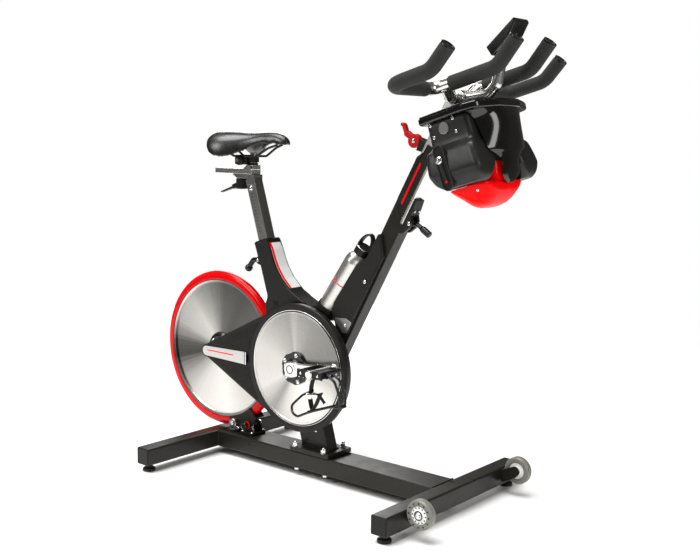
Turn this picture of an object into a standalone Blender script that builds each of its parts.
"""Indoor exercise bike: a floor base, a belt-driven flywheel and crank, an adjustable saddle,
and a raised handlebar with a storage pod. X runs forward to the handlebar, Y to the rider's
left and Z up. The crank axis is at X = 0 while the pieces are built; the root empty then puts
the origin under the middle of the whole bike, on the floor. Lengths are in metres."""

import math

import bmesh
import bpy
from mathutils import Matrix, Vector

GAP = 0.0003  # left between neighbouring pieces

# Overall stations
CENTRE_X = 0.05509  # middle of the bike's length, measured from the crank axis
CRANK_Z = 0.323
WHEEL_X, WHEEL_Z, WHEEL_R = -0.3652, 0.3235, 0.2429
CRANK_LENGTH = 0.170
CRANK_RISE = math.radians(10.0)

# Base
BAR = 0.0508
BAR_Z = 0.0217
BAR_TOP = BAR_Z + BAR
BEAM_HALF = 0.0508
REAR_BAR = (-0.3828, 0.331)
FRONT_BAR = (0.4780, 0.312)
ROLLER = (0.5735, 0.2325, 0.0725, 0.0385)

# Belt drive
COVER_FRONT = -0.060
COVER_R = 0.183
COVER_END = (-0.372, 0.0196)
DISC_R = 0.1645
PULLEY_R = 0.110
PINION_R = 0.0120

# Leaning tubes: a point on the front face, and the lean from vertical
SEAT_POINT, SEAT_LEAN = (-0.1631, 0.7), math.radians(-17.45)
HEAD_POINT, HEAD_LEAN = (0.3102, 0.7), math.radians(28.43)
POST_HALF = 0.0184
SEAT_DEPTH = 0.0353
HEAD_HALF, HEAD_DEPTH = 0.0215, 0.0500
BOTTLE_LEAN = math.radians(34.4)
BOTTLE_R = 0.0325

# Handlebar and pod
BAR_TILT = math.radians(16.3)
TRAY_POINT = (0.464, 1.037)
TUBE_R = 0.0165
GRIP_R = 0.0188


# ---------------------------------------------------------------- frames and outlines


def frame(point, lean):
    """Places (forward, along, across) of a leaning tube: along goes up it, across is Y."""
    along = Vector((math.sin(lean), 0, math.cos(lean)))
    forward = Vector((math.cos(lean), 0, -math.sin(lean)))
    return placed((point[0], 0, point[1]), forward, along, Vector((0, 1, 0)))


def placed(origin, a, b, c):
    m = Matrix.Identity(4)
    for column, axis in enumerate((a, b, c, Vector(origin))):
        for row in range(3):
            m[row][column] = axis[row]
    return m


SIDE = placed((0, 0, 0), Vector((1, 0, 0)), Vector((0, 0, 1)), Vector((0, 1, 0)))
PLAN = placed((0, 0, 0), Vector((1, 0, 0)), Vector((0, 1, 0)), Vector((0, 0, 1)))
SEAT = frame(SEAT_POINT, SEAT_LEAN)
HEAD = frame(HEAD_POINT, HEAD_LEAN)
TRAY = placed(
    (TRAY_POINT[0], 0, TRAY_POINT[1]),
    Vector((math.cos(BAR_TILT), 0, math.sin(BAR_TILT))),
    Vector((0, 1, 0)),
    Vector((-math.sin(BAR_TILT), 0, math.cos(BAR_TILT))),
)


def area(outline):
    pairs = zip(outline, outline[1:] + outline[:1])
    return sum(p[0] * q[1] - q[0] * p[1] for p, q in pairs) / 2


def inset(outline, by):
    """The outline moved inwards by a distance, with mitred corners."""
    turn = 1 if area(outline) > 0 else -1
    found = []
    for i, here in enumerate(outline):
        before, after = Vector(outline[i - 1]), Vector(outline[(i + 1) % len(outline)])
        into = (Vector(here) - before).normalized()
        out = (after - Vector(here)).normalized()
        n1 = Vector((-into.y, into.x)) * turn
        n2 = Vector((-out.y, out.x)) * turn
        mitre = (n1 + n2) / max(1 + n1.dot(n2), 0.35)
        found.append(tuple(Vector(here) + mitre * by))
    return found


def rounded(points, radius, steps=3):
    """The polygon with each corner turned into an arc; a point may carry its own radius."""
    found = []
    for i, here in enumerate(points):
        r = here[2] if len(here) > 2 else radius
        p = Vector(here[:2])
        a = Vector(points[i - 1][:2]) - p
        b = Vector(points[(i + 1) % len(points)][:2]) - p
        reach = min(r / max(math.tan(a.angle(b) / 2), 0.05), 0.48 * a.length, 0.48 * b.length)
        if r <= 0 or reach < 1e-5:
            found.append(tuple(p))
            continue
        start, end = p + a.normalized() * reach, p + b.normalized() * reach
        for k in range(steps + 1):
            t = k / steps
            found.append(tuple(start * (1 - t) ** 2 + p * 2 * t * (1 - t) + end * t**2))
    return found


def rectangle(x0, x1, y0, y1):
    return [(x0, y0), (x1, y0), (x1, y1), (x0, y1)]


def arc(centre, radius, start, end, steps):
    """Points on a circle between two angles in degrees."""
    angles = [math.radians(start + (end - start) * k / steps) for k in range(steps + 1)]
    return [(centre[0] + radius * math.cos(a), centre[1] + radius * math.sin(a)) for a in angles]


def teardrop(big_r, small_r, steps):
    """Two circles wrapped by one line: the crank's, and the small one at the flywheel's axle."""
    length = -COVER_END[0]
    spread = math.degrees(math.acos((big_r - small_r) / length))
    big = arc((0, CRANK_Z), big_r, -180 + spread, 180 - spread, steps)
    small = arc((COVER_END[0], CRANK_Z), small_r, 180 - spread, 180 + spread, steps // 4)
    return big + small


# ---------------------------------------------------------------- solids


def skin(rings, loop=False):
    """A closed surface over rings of points: the ends are capped, or a loop joins them."""
    bm = bmesh.new()
    rows = [[bm.verts.new(p) for p in ring] for ring in rings]
    for low, high in zip(rows, rows[1:] + (rows[:1] if loop else [])):
        for i in range(len(low)):
            j = (i + 1) % len(low)
            bm.faces.new((low[i], low[j], high[j], high[i]))
    if not loop:
        bm.faces.new(rows[0])
        bm.faces.new(rows[-1])
    bmesh.ops.recalc_face_normals(bm, faces=bm.faces)
    return bm


def prism(outline, low, high, chamfer=0.0015, where=SIDE):
    """A flat outline given thickness, with its two rims chamfered."""
    levels = [(outline, low), (outline, high)]
    if chamfer:
        small = inset(outline, chamfer)
        levels = [(small, low), (outline, low + chamfer), (outline, high - chamfer), (small, high)]
    return skin([[where @ Vector((a, b, h)) for a, b in ring] for ring, h in levels])


def slab(x, y, z, corner=0.003, chamfer=0.0015):
    """A box between limits on each axis, rounded about its vertical edges."""
    outline = rounded(rectangle(x[0], x[1], y[0], y[1]), corner, 2)
    return prism(outline, z[0], z[1], chamfer, PLAN)


def turned(profile, centre, axis, sides, ring=False):
    """A profile of (radius, height) turned about an axis; a ring is open through the middle."""
    axis = Vector(axis).normalized()
    across = axis.orthogonal().normalized()
    third = axis.cross(across)
    rings = []
    for radius, height in profile:
        row = []
        for k in range(sides):
            a = 2 * math.pi * k / sides
            spoke = across * math.cos(a) + third * math.sin(a)
            row.append(Vector(centre) + axis * height + spoke * radius)
        rings.append(row)
    return skin(rings, loop=ring)


def bent(points, radius, steps=5):
    """A path in space with its corners turned into bends."""
    found = [Vector(points[0])]
    for before, here, after in zip(points, points[1:], points[2:]):
        p = Vector(here[:3])
        a, b = Vector(before[:3]) - p, Vector(after[:3]) - p
        r = here[3] if len(here) > 3 else radius
        reach = min(r / max(math.tan(a.angle(b) / 2), 0.05), 0.48 * a.length, 0.48 * b.length)
        start, end = p + a.normalized() * reach, p + b.normalized() * reach
        for k in range(steps + 1):
            t = k / steps
            found.append(start * (1 - t) ** 2 + p * 2 * t * (1 - t) + end * t**2)
    return found + [Vector(points[-1][:3])]


def path_rings(path, sections, up=(0, 1, 0)):
    """Rings of points along a path; each section is a list of 2-D points square to the path."""
    side = Vector(up)
    rings = []
    for i, here in enumerate(path):
        ahead = path[min(i + 1, len(path) - 1)] - here
        behind = here - path[max(i - 1, 0)]
        way = (ahead.normalized() + behind.normalized()).normalized()
        side = (side - way * side.dot(way)).normalized()
        other = way.cross(side)
        rings.append([here + side * a + other * b for a, b in sections[i]])
    return rings


def circle(radius, sides):
    return arc((0, 0), radius, 0, 360 * (sides - 1) / sides, sides - 1)


def pipe(path, radius, sides=12, up=(0, 1, 0)):
    """A round bar along a path. The radius is one number, or one for each point."""
    radii = radius if isinstance(radius, list) else [radius] * len(path)
    return skin(path_rings(path, [circle(r, sides) for r in radii], up))


def cup(path, outer, inner, floor, sides=12, up=(0, 1, 0)):
    """A sleeve along a path, closed over its last end by a floor of the given thickness."""
    back = (path[-2] - path[-1]).normalized()
    hollow = path[:-1] + [path[-1] + back * floor]
    inside = path_rings(hollow, [circle(inner, sides)] * len(path), up)
    outside = path_rings(path, [circle(outer, sides)] * len(path), up)
    return skin(inside[::-1] + outside)


def baked(bm):
    mesh = bpy.data.meshes.new("shape")
    bm.to_mesh(mesh)
    bm.free()
    obj = bpy.data.objects.new("shape", mesh)
    bpy.context.scene.collection.objects.link(obj)
    return obj


def combine(base, tools, operation):
    """The base with each tool joined to it, or cut from it."""
    target = baked(base)
    others = [baked(tool) for tool in tools]
    for other in others:
        step = target.modifiers.new("step", "BOOLEAN")
        step.operation = operation
        step.solver = "EXACT"
        step.object = other
    graph = bpy.context.evaluated_depsgraph_get()
    result = bmesh.new()
    result.from_object(target, graph)
    for obj in [target] + others:
        bpy.data.objects.remove(obj, do_unlink=True)
    bmesh.ops.remove_doubles(result, verts=result.verts, dist=1e-6)
    bmesh.ops.dissolve_degenerate(result, dist=1e-6, edges=result.edges)
    return result


def joined(base, *tools):
    return combine(base, tools, "UNION")


def cut(base, *tools):
    return combine(base, tools, "DIFFERENCE")


# ---------------------------------------------------------------- materials and assembly


def paint(name, colour, roughness, metallic=0.0, coat=0.0):
    found = bpy.data.materials.new(name)
    found.use_nodes = True
    shader = found.node_tree.nodes["Principled BSDF"]
    shader.inputs["Base Color"].default_value = (*colour, 1)
    shader.inputs["Roughness"].default_value = roughness
    shader.inputs["Metallic"].default_value = metallic
    shader.inputs["Coat Weight"].default_value = coat
    found.diffuse_color = (*colour, 1)
    return found


for leftover in list(bpy.data.objects):
    bpy.data.objects.remove(leftover, do_unlink=True)

BLACK_PAINT = paint("black_paint", (0.018, 0.016, 0.013), 0.38)
SATIN_PLASTIC = paint("satin_plastic", (0.022, 0.021, 0.020), 0.48)
GLOSS_PLASTIC = paint("gloss_plastic", (0.006, 0.006, 0.006), 0.10, coat=0.6)
POD_PLASTIC = paint("pod_plastic", (0.030, 0.030, 0.029), 0.42)
RED_GLOSS = paint("red_gloss", (0.62, 0.004, 0.008), 0.16, coat=0.5)
RED_LEVER = paint("red_lever", (0.40, 0.010, 0.010), 0.40)
BRUSHED_ALUMINIUM = paint("brushed_aluminium", (0.72, 0.70, 0.66), 0.32, 1.0)
POST_STEEL = paint("post_steel", (0.30, 0.30, 0.30), 0.36, 1.0)
SILVER_TUBE = paint("silver_tube", (0.74, 0.72, 0.68), 0.24, 1.0)
CHROME = paint("chrome", (0.80, 0.80, 0.80), 0.10, 1.0)
GRIP_FOAM = paint("grip_foam", (0.050, 0.050, 0.052), 0.72)
SADDLE_VINYL = paint("saddle_vinyl", (0.012, 0.012, 0.012), 0.30)
WHEEL_RUBBER = paint("wheel_rubber", (0.34, 0.35, 0.35), 0.45)
BELT_RUBBER = paint("belt_rubber", (0.015, 0.015, 0.015), 0.7)

ROOT = bpy.data.objects.new("bike", None)
bpy.context.scene.collection.objects.link(ROOT)
ROOT.location = (-CENTRE_X, 0, 0)


def body(name, point, parent=None):
    """An empty on a joint's axis, which carries the pieces that move on it."""
    found = bpy.data.objects.new(name, None)
    bpy.context.scene.collection.objects.link(found)
    found.parent = parent or ROOT
    found["at"] = point
    found.location = Vector(point) - Vector(parent["at"] if parent else (0, 0, 0))
    return found


def piece(name, bm, material, carrier, smooth=38):
    mesh = bpy.data.meshes.new(name)
    bm.to_mesh(mesh)
    bm.free()
    mesh.transform(Matrix.Translation(-Vector(carrier["at"])))
    mesh.materials.append(material)
    mesh.shade_smooth()
    mesh.set_sharp_from_angle(angle=math.radians(smooth))
    found = bpy.data.objects.new(name, mesh)
    found.parent = carrier
    bpy.context.scene.collection.objects.link(found)
    return found


FRAME = body("frame", (0, 0, 0))

# ---------------------------------------------------------------- base

piece(
    "main_beam",
    prism(
        rounded(rectangle(-BEAM_HALF, BEAM_HALF, BAR_Z, BAR_TOP), 0.004, 2),
        REAR_BAR[0] + BAR + GAP,
        FRONT_BAR[0] - GAP,
        0,
        placed((0, 0, 0), Vector((0, 1, 0)), Vector((0, 0, 1)), Vector((1, 0, 0))),
    ),
    BLACK_PAINT,
    FRAME,
)
for name, (start, half) in (("rear_crossbar", REAR_BAR), ("front_crossbar", FRONT_BAR)):
    section = rounded(rectangle(start, start + BAR, BAR_Z, BAR_TOP), 0.005, 2)
    piece(name, prism(section, -half, half, 0.0025), BLACK_PAINT, FRAME)
for end, x, y in (("rear", -0.3574, 0.307), ("front", 0.5034, 0.288)):
    for side, sign in (("right", -1), ("left", 1)):
        profile = [(0.0155, 0), (0.0178, 0.002), (0.0178, 0.0145), (0.0162, 0.0160),
                   (0.0162, BAR_Z - GAP)]
        foot = turned(profile, (x, sign * y, 0), (0, 0, 1), 20)
        piece(f"foot_{end}_{side}", foot, SATIN_PLASTIC, FRAME)

for side, sign in (("right", -1), ("left", 1)):
    x, y, z, r = ROLLER
    inner = sign * (y - 0.0175)
    outline = rounded([(FRONT_BAR[0] + BAR + GAP, 0.030), (x + 0.004, 0.056), (x + 0.018, z),
                       (x + 0.004, z + 0.018), (FRONT_BAR[0] + BAR + GAP, 0.068)], 0.010)
    plate = prism(outline, min(inner, inner - sign * 0.005), max(inner, inner - sign * 0.005), 0.0008)
    stub = turned([(0.0055, -0.002), (0.0055, 0.0335)], (x, inner, z), (0, sign, 0), 14)
    piece(f"wheel_bracket_{side}", joined(plate, stub), BLACK_PAINT, FRAME)
    roller = body(f"roller_{side}", (x, sign * y, z))
    tyre = [(0.0058, -0.013), (0.014, -0.013), (0.024, -0.010), (r - 0.004, -0.012), (r, -0.007),
            (r, 0.007), (r - 0.004, 0.012), (0.024, 0.010), (0.014, 0.013), (0.0058, 0.013)]
    wheel = turned(tyre, (x, sign * y, z), (0, sign, 0), 28, ring=True)
    piece(f"transport_wheel_{side}", wheel, WHEEL_RUBBER, roller)

# ---------------------------------------------------------------- frame uprights

plate = slab((-0.030, 0.120), (-0.0545, 0.0545), (BAR_TOP + GAP, 0.0862), 0.006)
column = prism([(-0.0087, 0.0800), (0.0967, 0.0800), (0.0440, 0.2640), (-0.0605, 0.2640)],
               -0.021, 0.021, 0.003)
piece("pedestal", joined(plate, column), BLACK_PAINT, FRAME)

hub = [(-0.0606, 0.2643), (0.0439, 0.2643), (0.0880, 0.3400, 0.02), (0.0640, 0.3700, 0.01),
       (-0.0200, 0.3850, 0.02), (-0.0560, 0.4080), (-0.1150, 0.3900), (-0.0900, 0.3300, 0.02)]
shell = turned([(0.030, -0.0335), (0.030, 0.0335)], (0, 0, CRANK_Z), (0, 1, 0), 24)
bore = turned([(0.0128, -0.05), (0.0128, 0.05)], (0, 0, CRANK_Z), (0, 1, 0), 24)
hub = cut(joined(prism(rounded(hub, 0), -0.0205, 0.0205, 0.002), shell), bore)
piece("frame_hub", hub, BLACK_PAINT, FRAME)

for side, sign in (("right", -1), ("left", 1)):
    outline = [(-0.060, 0.290, 0.01), (-0.050, 0.350, 0.01), (-0.085, 0.420, 0.02),
               (-0.120, 0.400, 0.02), (-0.352, 0.352, 0.02), (-0.390, 0.3235, 0.02),
               (-0.352, 0.301, 0.02)]
    faces = sorted((sign * 0.0209, sign * 0.0269))
    stay = prism(rounded(outline, 0.01, 4), faces[0], faces[1], 0.001)
    hole = turned([(0.0064, -0.05), (0.0064, 0.05)], (WHEEL_X, 0, WHEEL_Z), (0, 1, 0), 16)
    slot = turned([(0.0306, -0.05), (0.0306, 0.05)], (0, 0, CRANK_Z), (0, 1, 0), 24)
    piece(f"stay_{side}", cut(stay, hole, slot), BLACK_PAINT, FRAME)

# The seat tube's plastic shroud flares forward at its foot; its socket takes the square post.
outline = [(-0.1454, 0.6786), (-0.1433, 0.6730), (-0.1331, 0.6529), (-0.1248, 0.6299),
           (-0.1125, 0.6044), (-0.0882, 0.5712), (-0.0522, 0.5395), (-0.0129, 0.5189),
           (0.030, 0.500, 0.01), (0.020, 0.470, 0.02), (-0.048, 0.440), (-0.0560, 0.4083),
           (-0.1150, 0.3905), (-0.1400, 0.4000, 0.01), (-0.1545, 0.4870), (-0.1450, 0.515, 0.02),
           (-0.1600, 0.562), (-0.1735, 0.6025), (-0.1880, 0.6373), (-0.1975, 0.6640),
           (-0.1955, 0.6700)]
shroud = prism(rounded(outline, 0), -0.031, 0.031, 0.005)
waist = [prism(teardrop(COVER_R + 0.006, COVER_END[1] + 0.004, 40), -0.05, -0.0278, 0),
         prism([(-0.20, 0.38), (0.05, 0.38), (0.05, 0.4445), (-0.20, 0.4445)], 0.0278, 0.05, 0)]
guard = turned([(WHEEL_R + 0.003, -0.0160), (WHEEL_R + 0.003, 0.0160)], (WHEEL_X, 0, WHEEL_Z),
               (0, 1, 0), 48)
socket = prism(rectangle(-SEAT_DEPTH - GAP, GAP, -0.295, 0.05),
               -POST_HALF - GAP, POST_HALF + GAP, 0, SEAT)
stays = [prism(rectangle(-0.40, 0.10, 0.30, 0.4445), *span, 0)
         for span in ((-0.0275, -0.0206), (0.0206, 0.0275))]
lugs = []
for sign in (-1, 1):
    outline = rounded([(-0.165, 0.598), (-0.165, 0.636), (-0.196, 0.6270, 0.008),
                       (-0.2075, 0.6160, 0.008), (-0.196, 0.6050, 0.008)], 0)
    lugs.append(prism(outline, *sorted((sign * 0.0130, sign * 0.0180)), 0))
latch_hole = turned([(0.0040, -0.1), (0.0040, 0.1)], (-0.1965, 0, 0.6160), (0, 1, 0), 12)
shroud = joined(shroud, *lugs)
piece("seat_tube", cut(shroud, *waist, guard, socket, *stays, latch_hole), SATIN_PLASTIC, FRAME)

# The head tube is a rectangular box section; the handlebar post slides inside it.
outline = [(-HEAD_DEPTH, -0.412), (0, -0.412), (0, 0.0650), (-0.0122, 0.0650), (-0.0122, 0.0757),
           (-HEAD_DEPTH, 0.1155)]
tube = prism(outline, -HEAD_HALF, HEAD_HALF, 0.001, HEAD)
inner = prism(rectangle(-0.0472, -0.0028, -0.15, 0.13), -POST_HALF - GAP, POST_HALF + GAP, 0, HEAD)
foot = prism([(-0.2, 0.20), (0.30, 0.20), (0.30, 0.3403), (0.0880, 0.3403), (0.0640, 0.3705),
              (-0.2, 0.4100)], -0.05, 0.05, 0)
piece("head_tube", cut(tube, inner, foot), BLACK_PAINT, FRAME)

# Plastic shroud behind the head tube, with a cradle and a cup for the bottle.
outline = [(0.1063, 0.4980), (0.1128, 0.5250), (0.1378, 0.5610), (0.1728, 0.6100),
           (0.1903, 0.6360), (0.2148, 0.6495, 0.01), (0.2318, 0.6670), (0.2648, 0.7270),
           (0.2748, 0.7305), (0.2863, 0.6680), (0.2473, 0.5960), (0.1876, 0.4860),
           (0.1718, 0.4560), (0.1640, 0.4400), (0.1240, 0.4400, 0.01)]
wall = prism(rounded(outline, 0), -0.030, 0.030, 0.0015)
tongue = prism([(0.040, 0.4700), (0.115, 0.4800), (0.130, 0.5150), (0.050, 0.5000)],
               -0.012, 0.012, 0.002)
cup_at = Vector((0.0587, 0, 0.4824))
cup_axis = Vector((math.sin(BOTTLE_LEAN), 0, math.cos(BOTTLE_LEAN)))
holder = turned([(0.029, 0), (0.0355, 0.004), (0.0355, 0.034)], cup_at, cup_axis, 28)
room = turned([(BOTTLE_R + 0.0006, 0.0190), (BOTTLE_R + 0.0006, 0.40)], cup_at, cup_axis, 28)
column = prism(rectangle(-HEAD_DEPTH - GAP, 0.02, -0.5, 0.2),
               -HEAD_HALF - GAP, HEAD_HALF + GAP, 0, HEAD)
cover_rims = [turned([(0.1900, -0.1), (0.1900, -0.0278)], (0, 0, CRANK_Z), (0, 1, 0), 48)
              for _ in range(2)]
wall = cut(wall, cover_rims[0])
holder = cut(holder, cover_rims[1])
holder = cut(joined(wall, tongue, holder), room, column)
piece("bottle_shroud", holder, SATIN_PLASTIC, FRAME)

bottle = body("bottle_carrier", tuple(cup_at + cup_axis * 0.0193))
profile = [(BOTTLE_R - 0.003, 0), (BOTTLE_R, 0.004), (BOTTLE_R, 0.1800), (BOTTLE_R - 0.003, 0.1900),
           (0.0245, 0.1990), (0.0215, 0.2020), (0.0225, 0.2040), (0.0225, 0.2260),
           (0.0205, 0.2285)]
flask = turned(profile, bottle["at"], cup_axis, 28)
lid = placed(Vector(bottle["at"]) + cup_axis * 0.2285, Vector((cup_axis.z, 0, -cup_axis.x)), cup_axis,
             Vector((0, 1, 0)))
strap = [lid @ Vector((0.0200 * math.cos(a), -0.003 + 0.0430 * math.sin(a), 0))
         for a in [math.pi * k / 10 for k in range(11)]]
loop = skin(path_rings(strap, [rounded(rectangle(-0.0085, 0.0085, -0.0022, 0.0022), 0.001, 1)] * 11))
piece("bottle", joined(flask, loop), BRUSHED_ALUMINIUM, bottle)

# Block on the head tube's front for the height pin, and the lever that draws the pin.
outline = [(0.0003, 0.0400), (0.0110, 0.0460, 0.003), (0.0200, 0.0660, 0.004),
           (0.0200, 0.0860, 0.004), (0.0090, 0.1000), (0.0080, 0.1180), (0.0045, 0.1430),
           (-0.0027, 0.1430), (-0.0027, 0.0654), (0.0003, 0.0654)]
block = prism(rounded(outline, 0), -0.0190, 0.0190, 0, HEAD)
pin_at = HEAD @ Vector((0.0145, 0.0780, 0))
pivot = turned([(0.0042, -0.1), (0.0042, 0.1)], pin_at, (0, 1, 0), 14)
slotted = prism(rectangle(0.0055, 0.06, 0.0300, 0.0965), -0.0085, 0.0085, 0, HEAD)
piece("pin_housing", cut(block, slotted, pivot), SATIN_PLASTIC, FRAME)

lever = body("post_lever_pivot", tuple(pin_at))
pin = turned([(0.0038, -0.0180), (0.0038, 0.0180)], pin_at, (0, 1, 0), 14)
tip = Vector((0.4160, 0, 0.7330))
elbow = pin_at + Vector((0.018, 0, -0.004))
path = bent([pin_at, elbow, elbow.lerp(tip, 0.30), elbow.lerp(tip, 0.38), tip.lerp(elbow, 0.1), tip],
            0.002, 1)
radii = [0.0062] * (len(path) - 5) + [0.0088, 0.0095, 0.0095, 0.0090, 0.0055]
grip = pipe(path, radii[:len(path)], 10)
piece("post_lever", joined(pin, grip), SATIN_PLASTIC, lever)

# ---------------------------------------------------------------- belt cover and drive

outer = prism(teardrop(COVER_R, COVER_END[1], 40), COVER_FRONT, -0.0310, 0.003)
ring_profile = [(0.1655, -0.0605), (0.1855, -0.0605), (0.1880, -0.0580), (0.1880, -0.0450),
                (0.1800, -0.0310), (0.1655, -0.0310)]
ring = turned(ring_profile, (0, 0, CRANK_Z), (0, 1, 0), 48, ring=True)
inner = prism(teardrop(COVER_R - 0.0035, COVER_END[1] - 0.0030, 40), -0.0565, -0.02, 0)
opening = turned([(0.1668, -0.1), (0.1668, 0.1)], (0, 0, CRANK_Z), (0, 1, 0), 48)
cover = cut(joined(outer, ring), inner, opening)
piece("belt_cover", cover, SATIN_PLASTIC, FRAME)

back = prism(teardrop(0.1790, 0.0175, 40), -0.0307, -0.0282, 0)
holes = [turned([(0.0345, -0.1), (0.0345, 0.1)], (0, 0, CRANK_Z), (0, 1, 0), 28),
         turned([(0.0080, -0.1), (0.0080, 0.1)], (WHEEL_X, 0, WHEEL_Z), (0, 1, 0), 18)]
piece("belt_cover_back", cut(back, *holes), SATIN_PLASTIC, FRAME)

crank = body("crank", (0, 0, CRANK_Z))
at = crank["at"]
disc = [(0.0132, -0.0620), (DISC_R, -0.0620), (DISC_R + 0.0008, -0.0612), (DISC_R, -0.0600),
        (PULLEY_R, -0.0590), (PULLEY_R, -0.0360), (PULLEY_R - 0.006, -0.0350),
        (PULLEY_R - 0.008, -0.0560), (0.030, -0.0560), (0.026, -0.0350), (0.0132, -0.0350)]
piece("crank_disc", turned(disc, at, (0, 1, 0), 48, ring=True), BRUSHED_ALUMINIUM, crank)
spindle = [(0.0100, -0.0825), (0.0125, -0.0800), (0.0125, 0.0700), (0.0100, 0.0735)]
piece("crank_spindle", turned(spindle, at, (0, 1, 0), 20), CHROME, crank)

# Spider: a plate with five lobes bolted to the disc, its bolts every 72 degrees.
lobes = []
for k in range(5):
    middle = 5.7 + 72 * k
    lobes += arc((0, CRANK_Z), 0.0480, middle - 20, middle + 20, 4)
spider = prism(rounded(lobes, 0.004, 1), -0.0700, -0.0623, 0.0012)
boss = turned([(0.0240, -0.0670), (0.0240, -0.0740), (0.0220, -0.0760)], at, (0, 1, 0), 24)
hole = turned([(0.0132, -0.1), (0.0132, 0.1)], at, (0, 1, 0), 20)
piece("crank_spider", cut(joined(spider, boss), hole), SATIN_PLASTIC, crank)

for side, sign in (("right", -1), ("left", 1)):
    rise = CRANK_RISE if side == "right" else CRANK_RISE + math.pi
    way = Vector((math.cos(rise), 0, math.sin(rise)))
    inner_y, outer_y = (-0.0763, -0.0860) if side == "right" else (0.0560, 0.0700)
    end = Vector(at) + way * CRANK_LENGTH
    path = [Vector(at) + way * s for s in (-0.004, 0.030, 0.080, 0.140, 0.172)]
    offsets = (0.0822, 0.0822, 0.0835, 0.0885, 0.0905)
    if side == "left":
        offsets = (0.0640, 0.0660, 0.0760, 0.0870, 0.0905)
    sizes = ((0.0215, 0.0050), (0.0170, 0.0055), (0.0120, 0.0060), (0.0120, 0.0060),
             (0.0135, 0.0065))
    rings = []
    for spot, off, (tall, thick) in zip(path, offsets, sizes):
        ring = rounded(rectangle(-tall, tall, -thick, thick), 0.004, 2)
        up = Vector((-way.z, 0, way.x))
        rings.append([spot + up * a + Vector((0, sign * (off + b), 0)) for a, b in ring])
    arm = skin(rings)
    boss_start = sorted((inner_y, outer_y))
    boss = turned([(0.0225, boss_start[0]), (0.0225, boss_start[1])], at, (0, 1, 0), 24)
    eye = turned([(0.0140, 0.0840), (0.0140, 0.0975)], (end.x, 0, end.z), (0, sign, 0), 20)
    hole = turned([(0.0130, -0.1), (0.0130, 0.1)], at, (0, 1, 0), 20)
    thread = turned([(0.0068, -0.2), (0.0068, 0.2)], (end.x, 0, end.z), (0, 1, 0), 16)
    arm = cut(joined(arm, boss, eye), hole, thread)
    piece(f"crank_arm_{side}", arm, POST_STEEL, crank)

    # Pedal: spindle, two side rails and a middle body, with a toe cage bolted on its front.
    pedal = body(f"pedal_{side}_axis", (end.x, sign * 0.100, end.z), crank)
    y = sign
    rod = turned([(0.0065, 0.0840), (0.0065, 0.0990), (0.0090, 0.0995), (0.0090, 0.1060),
                  (0.0120, 0.1080), (0.0120, 0.1960)], (end.x, 0, end.z), (0, sign, 0), 14)
    rails = []
    for near, far in ((0.1120, 0.1180), (0.1880, 0.1940)):
        outline = rounded(rectangle(end.x - 0.044, end.x + 0.044, end.z - 0.0110, end.z + 0.0110),
                          0.008, 2)
        rails.append(prism(outline, *sorted((y * near, y * far)), 0.001))
    bars = []
    for x in (-0.040, 0.034):
        bars.append(slab((end.x + x, end.x + x + 0.006), sorted((y * 0.1150, y * 0.1910)),
                         (end.z - 0.0090, end.z + 0.0090), 0.001, 0.0008))
    plate = slab((end.x - 0.020, end.x + 0.020), sorted((y * 0.1150, y * 0.1910)),
                 (end.z - 0.0040, end.z + 0.0040), 0.004, 0.001)
    piece(f"pedal_{side}", joined(rod, plate, *rails, *bars), SATIN_PLASTIC, pedal)

    def hoop(points, thick):
        """A bent bar of the cage through (along, out, up) places measured from the pedal's axis."""
        places = [(end.x + along, y * out, end.z + up_by) for along, out, up_by in points]
        return pipe(bent(places, 0.022, 2), thick, 6)

    toe = [(0.0465, 0.0020), (0.0720, -0.0120), (0.0900, -0.0500), (0.0940, -0.0800),
           (0.0640, -0.0810), (-0.0200, -0.1110)]
    back = [(-0.0120, 0.1715, -0.1080), (-0.0600, 0.1720, -0.1310), (-0.0850, 0.1650, -0.1260),
            (-0.0950, 0.1580, -0.1080), (-0.0600, 0.1520, -0.0740), (-0.0220, 0.1500, -0.0545)]
    hoops = [hoop([(along, out, up_by) for along, up_by in toe], 0.0038)
             for out in (0.1500, 0.1720)]
    hoops.append(hoop(back, 0.0036))
    root = slab((end.x + 0.0443, end.x + 0.0500), sorted((y * 0.1220, y * 0.1780)),
                (end.z - 0.008, end.z + 0.008), 0.001, 0.0008)
    bands = []
    for along, up_by in ((-0.0200, -0.1110), (0.0920, -0.0790)):
        middle = Vector((end.x + along, 0, end.z + up_by))
        bands.append(turned([(0.0044, 0.1490), (0.0044, 0.1730)], middle, (0, y, 0), 8))
    buckle = slab((end.x - 0.0330, end.x - 0.0120), sorted((y * 0.1460, y * 0.1640)),
                  (end.z - 0.1080, end.z - 0.0130), 0.001, 0.0008)
    cage = joined(root, *hoops, *bands, buckle)
    piece(f"toe_cage_{side}", cage, SATIN_PLASTIC, pedal)

wheel = body("flywheel", (WHEEL_X, 0, WHEEL_Z))
at = wheel["at"]
disc = [(0.0505, -0.0050), (0.2150, -0.0050), (0.2150, 0.0050), (0.0505, 0.0050)]
piece("flywheel_disc", turned(disc, at, (0, 1, 0), 56, ring=True), BRUSHED_ALUMINIUM, wheel)
rim = [(0.2153, -0.0120), (0.2180, -0.0135), (0.2330, -0.0130), (WHEEL_R, -0.0060),
       (WHEEL_R, 0.0060), (0.2330, 0.0130), (0.2180, 0.0135), (0.2153, 0.0120)]
piece("flywheel_rim", turned(rim, at, (0, 1, 0), 56, ring=True), RED_GLOSS, wheel)
hub = [(0.0064, -0.0180), (0.0380, -0.0180), (0.0460, -0.0140), (0.0502, -0.0080),
       (0.0502, 0.0080), (0.0460, 0.0140), (0.0380, 0.0180), (0.0064, 0.0180)]
hub = turned(hub, at, (0, 1, 0), 28, ring=True)
axle = [(PINION_R, -0.0540), (PINION_R, -0.0365), (0.0060, -0.0345), (0.0060, 0.0335)]
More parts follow.
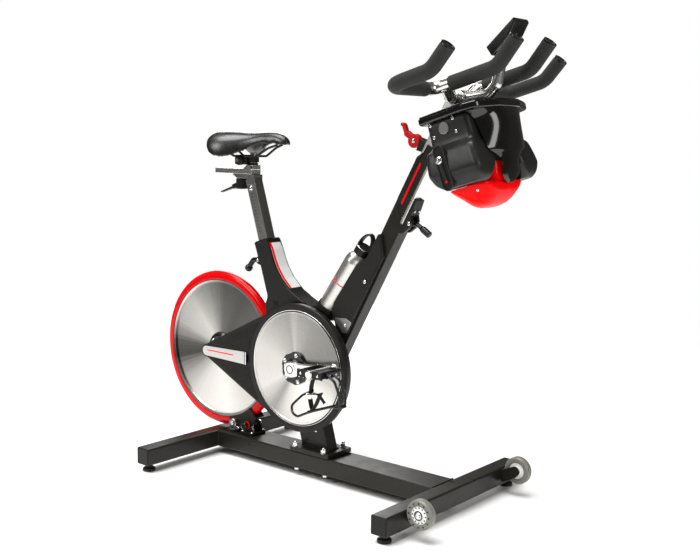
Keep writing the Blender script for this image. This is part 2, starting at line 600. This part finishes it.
piece("flywheel_axle", turned(axle, at, (0, 1, 0), 20), CHROME, wheel)
piece("flywheel_hub", hub, SATIN_PLASTIC, wheel)

belt_out = []
belt_in = []
spread = math.degrees(math.acos((PULLEY_R - PINION_R) / -WHEEL_X))
for extra, found in ((0.0022, belt_out), (0.0003, belt_in)):
    found += arc((0, CRANK_Z), PULLEY_R + extra, -180 + spread, 180 - spread, 32)
    found += arc((WHEEL_X, WHEEL_Z), PINION_R + extra, 180 - spread, 180 + spread, 10)
rings = [[SIDE @ Vector((a, b, h)) for a, b in line]
         for line, h in ((belt_in, -0.0530), (belt_out, -0.0530), (belt_out, -0.0370),
                         (belt_in, -0.0370))]
piece("drive_belt", skin(rings, loop=True), BELT_RUBBER, FRAME)

# ---------------------------------------------------------------- brake


def sector(inner_r, outer_r, start, end, low, high, chamfer=0):
    """A slice of a ring about the flywheel's axis, between two angles and two widths."""
    centre = (WHEEL_X, WHEEL_Z)
    outline = arc(centre, inner_r, start, end, 8) + arc(centre, outer_r, end, start, 8)
    return prism(outline, low, high, chamfer)


BRAKE_PIN = (-0.2330, 0, 0.1020)
foot = slab((-0.258, -0.204), (-0.030, 0.030), (BAR_TOP + GAP, 0.0815), 0.003)
cheeks = []
for sign in (-1, 1):
    outline = rounded([(-0.250, 0.078), (-0.210, 0.078), (-0.2220, 0.108), (-0.2330, 0.1135),
                       (-0.2440, 0.108)], 0.006)
    cheeks.append(prism(outline, *sorted((sign * 0.0200, sign * 0.0245)), 0))
hole = turned([(0.0044, -0.1), (0.0044, 0.1)], BRAKE_PIN, (0, 1, 0), 14)
piece("brake_bracket", cut(joined(foot, *cheeks), hole), SATIN_PLASTIC, FRAME)

brake = body("brake_pivot", BRAKE_PIN)
channel = cut(sector(0.2160, 0.2540, -77, -50, -0.0195, 0.0195),
              sector(0.2000, 0.2480, -80, -47, -0.0160, 0.0160))
drum = turned([(0.0150, -0.0170), (0.0150, -0.0310), (0.0130, -0.0330)], (-0.2900, 0, 0.0990),
              (0, 1, 0), 20)
pin = turned([(0.0040, -0.0350), (0.0040, 0.0300)], BRAKE_PIN, (0, 1, 0), 14)
lug = turned([(0.0085, -0.0190), (0.0085, 0.0190)], BRAKE_PIN, (0, 1, 0), 16)
knob = turned([(0.0085, -0.0250), (0.0100, -0.0270), (0.0100, -0.0380), (0.0070, -0.0400)],
              BRAKE_PIN, (0, 1, 0), 16)
piece("brake_caliper", joined(channel, drum, pin, lug, knob), SATIN_PLASTIC, brake)

# ---------------------------------------------------------------- seat post and saddle

post = body("seat_post_slide", (-0.1810, 0, 0.700))
tube = prism(rectangle(-SEAT_DEPTH, 0, -0.190, 0.172), -POST_HALF, POST_HALF, 0.0015, SEAT)
outline = [(-0.3030, 0.8705), (-0.2830, 0.8583), (-0.2400, 0.8583), (-0.2400, 0.8400),
           (-0.2140, 0.8400), (-0.2140, 0.8705)]
head = prism(outline, -0.0205, 0.0205, 0.0008)
bolt = turned([(0.0060, -0.0230), (0.0060, 0.0230)], (-0.2247, 0, 0.8300), (0, 1, 0), 14)
stem = turned([(0.0043, -0.1), (0.0043, 0.1)], (-0.2800, 0, 0.86), (0, 0, 1), 14)
piece("seat_post", cut(joined(tube, head, bolt), stem), POST_STEEL, post)

lock = body("saddle_lock_pivot", (-0.2800, 0, 0.842), post)
at = lock["at"]
knob = turned([(0.0165, 0.8258 - at[2]), (0.0190, 0.8280 - at[2]), (0.0190, 0.8560 - at[2]),
               (0.0170, 0.8578 - at[2]), (0.0040, 0.8578 - at[2]), (0.0040, 0.8700 - at[2])],
              at, (0, 0, 1), 20)
path = [Vector((-0.2870, 0, 0.8400)), Vector((-0.3100, -0.004, 0.8300)),
        Vector((-0.3550, -0.010, 0.8135))]
blade = skin(path_rings(path, [rounded(rectangle(-w, w, -h, h), 0.002, 1)
                               for w, h in ((0.011, 0.0070), (0.010, 0.0050), (0.0075, 0.0035))]))
piece("saddle_lock_lever", joined(knob, blade), SATIN_PLASTIC, lock)

slide = body("saddle_slide", (-0.3000, 0, 0.879), post)
bar = slab((-0.3770, -0.2205), (-0.0200, 0.0200), (0.8708, 0.8865), 0.003)
bracket = slab((-0.2460, -0.2190), (-0.0180, 0.0180), (0.8840, 0.8985), 0.004)
stub = turned([(0.0110, 0.8900), (0.0110, 0.9320), (0.0095, 0.9340)], (-0.2315, 0, 0), (0, 0, 1),
              20)
piece("saddle_slider", joined(bar, bracket, stub), POST_STEEL, slide)

block = slab((-0.2930, -0.2430), (-0.0290, 0.0290), (0.8986, 0.9275), 0.004)
rails = []
for sign in (-1, 1):
    path = bent([(-0.1250, sign * 0.010, 0.9600), (-0.1560, sign * 0.016, 0.9500),
                 (-0.2000, sign * 0.0215, 0.9250), (-0.2950, sign * 0.0215, 0.9240),
                 (-0.3250, sign * 0.0240, 0.9420), (-0.3320, sign * 0.0240, 0.9720)], 0.02, 2)
    rails.append(pipe(path, 0.0035, 6))
piece("saddle_clamp", joined(block, *rails), SATIN_PLASTIC, slide)

# Saddle sections: place along X, half width, top, lower edge, and the hollow's roof
SADDLE = ((-0.0880, 0.0110, 0.9690, 0.9570, 0.9580), (-0.0950, 0.0165, 0.9820, 0.9540, 0.9600),
          (-0.1150, 0.0215, 0.9930, 0.9535, 0.9660), (-0.1450, 0.0245, 0.9985, 0.9550, 0.9740),
          (-0.1800, 0.0290, 0.9985, 0.9560, 0.9760), (-0.2100, 0.0380, 0.9965, 0.9450, 0.9760),
          (-0.2400, 0.0520, 0.9965, 0.9300, 0.9760), (-0.2700, 0.0700, 0.9985, 0.9180, 0.9760),
          (-0.2990, 0.0845, 1.0010, 0.9160, 0.9770), (-0.3270, 0.0890, 1.0020, 0.9230, 0.9780),
          (-0.3480, 0.0850, 1.0000, 0.9380, 0.9780), (-0.3650, 0.0700, 0.9880, 0.9600, 0.9690))
rings = []
for x, half, top, low, roof in SADDLE:
    ring = []
    for k in range(15):
        a = math.pi * k / 14
        y = half * math.copysign(abs(math.cos(a)) ** 0.8, math.cos(a))
        ring.append(Vector((x, y, low + (top - low) * math.sin(a) ** 0.75)))
    for k in range(1, 8):
        t = k / 8
        lift = min(1, 4 * t * (1 - t) * 1.6)
        y = -0.86 * half * (1 - 2 * t)
        ring.append(Vector((x, y, low + 0.002 + (roof - low - 0.002) * lift)))
    rings.append(ring)
piece("saddle", skin(rings), SADDLE_VINYL, slide, 60)

LATCH = (-0.1965, 0, 0.6160)
latch = body("seat_latch_pivot", LATCH)
barrel = turned([(0.0125, -0.0120), (0.0125, 0.0120)], LATCH, (0, 1, 0), 18)
pin = turned([(0.0037, -0.0175), (0.0037, 0.0175)], LATCH, (0, 1, 0), 12)
path = bent([Vector(LATCH), (-0.2300, 0, 0.6130), (-0.2490, 0, 0.5900)], 0.012, 3)
arm = pipe(path, 0.0082, 10)
ball = turned([(0.004, -0.0115), (0.0095, -0.0075), (0.0120, 0), (0.0095, 0.0075),
               (0.004, 0.0115)], (-0.2500, 0, 0.5870), (0, 1, 0), 16)
piece("seat_post_lever", joined(barrel, pin, arm, ball), SATIN_PLASTIC, latch)

# ---------------------------------------------------------------- handlebar

bars = body("handlebar_slide", (0.3600, 0, 0.840))
tube = prism(rectangle(-0.0469, -0.0031, -0.120, 0.4125), -POST_HALF, POST_HALF, 0.0015, HEAD)
piece("handlebar_post", tube, BRUSHED_ALUMINIUM, bars)

outline = [(-0.0506, 0.1169), (-0.0122, 0.0767, 0.004), (-0.0122, 0.2900), (-0.0370, 0.2900),
           (-0.0370, 0.2676), (-0.0506, 0.2443)]
sleeve = prism(rounded(outline, 0), -0.0215, 0.0215, 0.001, HEAD)
room = prism(rectangle(-0.0475, 0.02, 0.0, 0.40), -0.0187, 0.0187, 0, HEAD)
piece("post_cover", cut(sleeve, room), BLACK_PAINT, bars)


def reach(path, place):
    """How far along a path its nearest corner or edge to a place lies."""
    best, far, gone = 1e9, 0.0, 0.0
    for a, b in zip(path, path[1:]):
        length = (b - a).length
        t = max(0, min(1, (Vector(place) - a).dot(b - a) / length**2))
        gap = (a + (b - a) * t - Vector(place)).length
        if gap < best:
            best, far = gap, gone + t * length
        gone += length
    return far


def stretch(path, start, end):
    """The part of a path between two distances along it."""
    found, gone = [], 0.0
    for a, b in zip(path, path[1:]):
        length = (b - a).length
        for spot in (start, end):
            if gone <= spot < gone + length and (spot == end or not found):
                found.append(a.lerp(b, (spot - gone) / length))
        if start < gone + length < end - 1e-4 and gone + length > start + 1e-4:
            found.append(b.copy())
        gone += length
    return found


def ordered(points, path):
    """Points sorted by their distance along a path, with near repeats dropped."""
    points = sorted(points, key=lambda p: reach(path, p))
    kept = points[:1]
    for p in points[1:]:
        if (p - kept[-1]).length > 2e-4:
            kept.append(p)
    return kept


tubes = []
for side, sign in (("right", -1), ("left", 1)):
    corners = [(0.6354, 0.2642, 1.1963), (0.5895, 0.2630, 1.1420, 0.060),
               (0.4705, 0.2635, 1.1080, 0.045), (0.4705, 0.0790, 1.1080, 0.040),
               (0.6520, 0.0790, 1.1590, 0.060), (0.7037, 0.0791, 1.2264)]
    path = bent([(x, sign * y, z, *r) for x, y, z, *r in corners], 0.04, 4)
    total = reach(path, path[-1])
    outer_end = reach(path, (0.4705, sign * 0.1150, 1.1080))
    inner_end = reach(path, (0.5220, sign * 0.0790, 1.1225))
    first = ordered(stretch(path, 0.006, outer_end + 0.0004), path)
    middle = ordered(stretch(path, outer_end + 0.0010, inner_end - 0.0010), path)
    last = ordered(stretch(path, inner_end - 0.0004, total - 0.006), path)
    radii = [0.0125] * len(first) + [TUBE_R] * len(middle) + [0.0125] * len(last)
    tubes.append(pipe(first + middle + last, radii, 12, (0, 0.2, 1)))
    for name, low, high, flip in (("outer", 0.0, outer_end, True),
                                  ("inner", inner_end, total - 1e-5, False)):
        sleeve = ordered(stretch(path, low, high), path)
        if flip:
            sleeve = sleeve[::-1]
        grip = cup(sleeve, GRIP_R, 0.0131, 0.0045, 12, (0, 0.2, 1))
        piece(f"grip_{name}_{side}", grip, GRIP_FOAM, bars)
dip = bent([(0.5050, -0.0790, 1.1170), (0.5000, -0.0420, 1.0880), (0.5000, 0.0420, 1.0880),
            (0.5050, 0.0790, 1.1170)], 0.03, 4)
dip = pipe(dip, 0.0160, 12, (1, 0, 0))
arm = bent([(0.5000, 0, 1.0900), (0.5830, 0, 1.0980), (0.6050, 0, 1.1220), (0.6210, 0, 1.2120)],
           0.028, 4)
arm = pipe(arm, 0.0140, 12)
CONSOLE = [(0.5906, 1.2104, 0.003), (0.6646, 1.2790, 0.003), (0.6700, 1.2700, 0.004),
           (0.6520, 1.2350, 0.012), (0.6075, 1.1880, 0.004)]
trim = prism(inset(rounded(CONSOLE, 0), -GAP), -0.0353, 0.0353, 0)
piece("handlebar", cut(joined(*tubes, dip, arm), trim), SILVER_TUBE, bars)
piece("console", prism(rounded(CONSOLE, 0), -0.0350, 0.0350, 0.002), SATIN_PLASTIC, bars)

outline = [(-0.0655, 0.2550), (-0.0472, 0.2600), (-0.0472, 0.2890), (-0.0655, 0.2890)]
block = prism(outline, -0.0155, 0.0155, 0.0008, HEAD)
outline = rounded([(-0.0620, 0.2560), (-0.0850, 0.2600, 0.009), (-0.0940, 0.2719, 0.009),
                   (-0.0850, 0.2840, 0.009), (-0.0620, 0.2880)], 0)
cheek = prism(outline, 0.0048, 0.0155, 0, HEAD)
cam_at = HEAD @ Vector((-0.0848, 0.2719, 0))
hole = turned([(0.0044, -0.1), (0.0044, 0.1)], cam_at, (0, 1, 0), 14)
piece("shifter_bracket", cut(joined(block, cheek), hole), SATIN_PLASTIC, bars)

shifter = body("shifter_pivot", tuple(cam_at), bars)
cam = turned([(0.0170, -0.0145), (0.0185, -0.0130), (0.0185, 0.0030), (0.0170, 0.0045)],
             cam_at, (0, 1, 0), 22)
pin = turned([(0.0040, -0.0175), (0.0040, 0.0200)], cam_at, (0, 1, 0), 12)
path = bent([Vector((0.3560, -0.0050, 0.9880)), Vector((0.3370, -0.0050, 1.0000)),
             Vector((0.3290, -0.0050, 1.0210)), Vector((0.3210, -0.0050, 1.0235))], 0.006, 2)
sizes = [(0.0075, 0.0090)] + [(0.0075, 0.0062)] * (len(path) - 2) + [(0.0075, 0.0045)]
arm = skin(path_rings(path, [rounded(rectangle(-w, w, -h, h), 0.002, 1) for w, h in sizes]))
piece("shifter_lever", joined(cam, pin, arm), RED_LEVER, shifter)

# ---------------------------------------------------------------- storage pod

outline = [(-0.0120, -0.1250, 0.012), (0.1280, -0.1320, 0.020), (0.1620, -0.1200, 0.025),
           (0.1830, -0.0500, 0.030), (0.1830, 0.0500, 0.030), (0.1620, 0.1200, 0.025),
           (0.1280, 0.1320, 0.020), (-0.0120, 0.1250, 0.012)]
outline = rounded(outline, 0)
plate = prism(outline, -0.0200, -GAP, 0.003, TRAY)
post_path = prism(rectangle(-0.1200, -0.0025, 0.0, 0.50), -0.0190, 0.0190, 0, HEAD)
piece("pod_tray", cut(plate, post_path), GLOSS_PLASTIC, bars)

# Side pods, as sections down from the tray: depth, rear and front, inner and outer half width
POD = ((-0.0203, 0.004, 0.125, 0.056, 0.1125), (-0.0300, 0.003, 0.127, 0.056, 0.1150),
       (-0.0760, 0.005, 0.132, 0.056, 0.1165), (-0.0900, 0.000, 0.136, 0.056, 0.1260),
       (-0.1020, -0.004, 0.141, 0.056, 0.1370), (-0.1450, -0.004, 0.150, 0.058, 0.1450),
       (-0.1620, 0.001, 0.149, 0.064, 0.1435), (-0.1770, 0.009, 0.144, 0.072, 0.1390),
       (-0.1880, 0.020, 0.136, 0.080, 0.1300), (-0.1905, 0.026, 0.130, 0.084, 0.1240))
for side, sign in (("right", -1), ("left", 1)):
    rings = []
    for w, rear, front, near, far in POD:
        ring = rounded(rectangle(rear, front, near, far), 0.018, 4)
        rings.append([TRAY @ Vector((u, sign * y, w)) for u, y in ring])
    piece(f"side_pod_{side}", skin(rings), POD_PLASTIC, bars, 50)

# Cowl sections: depth, half width, front at the middle, front at the edge, and back
COWL = ((-0.0203, 0.118, 0.180, 0.1300, 0.1280), (-0.0320, 0.100, 0.182, 0.1310, 0.1285),
        (-0.0430, 0.0925, 0.183, 0.1330, 0.1305), (-0.0645, 0.088, 0.182, 0.1360, 0.1335),
        (-0.0950, 0.088, 0.177, 0.1440, 0.1415), (-0.1180, 0.083, 0.171, 0.1490, 0.1465),
        (-0.1300, 0.062, 0.167, 0.1515, 0.1490), (-0.1420, 0.046, 0.164, 0.1530, 0.1510),
        (-0.1560, 0.0405, 0.160, 0.1515, 0.1490), (-0.1740, 0.0415, 0.153, 0.1480, 0.1445),
        (-0.1900, 0.031, 0.145, 0.1420, 0.1380), (-0.2005, 0.012, 0.139, 0.1380, 0.1345))
rings = []
for w, half, middle, edge, rear in COWL:
    ring = []
    for k in range(11):
        t = -1 + k / 5
        ring.append(TRAY @ Vector((middle - (middle - edge) * abs(t) ** 3, half * t, w)))
    for k in range(1, 6):
        ring.append(TRAY @ Vector((rear, half * (1 - k / 3), w)))
    rings.append(ring)
piece("pod_cowl", skin(rings), GLOSS_PLASTIC, bars, 50)

# Bowl sections: depth, rear, front and half width; the neck rises between the side pods
BOWL = ((-0.1450, 0.030, 0.1420, 0.055), (-0.1750, 0.030, 0.1400, 0.055),
        (-0.1915, 0.030, 0.1300, 0.055),
        (-0.1925, 0.006, 0.1290, 0.097), (-0.2000, 0.010, 0.1300, 0.0940),
        (-0.2150, 0.022, 0.1240, 0.082), (-0.2300, 0.034, 0.1120, 0.066),
        (-0.2410, 0.044, 0.0970, 0.048), (-0.2465, 0.054, 0.0840, 0.030))
rings = []
for w, rear, front, half in BOWL:
    ring = rounded(rectangle(rear, front, -half, half), min(0.045, half * 0.9), 5)
    rings.append([TRAY @ Vector((u, y, w)) for u, y in ring])
piece("pod_bowl", skin(rings), RED_GLOSS, bars, 50)
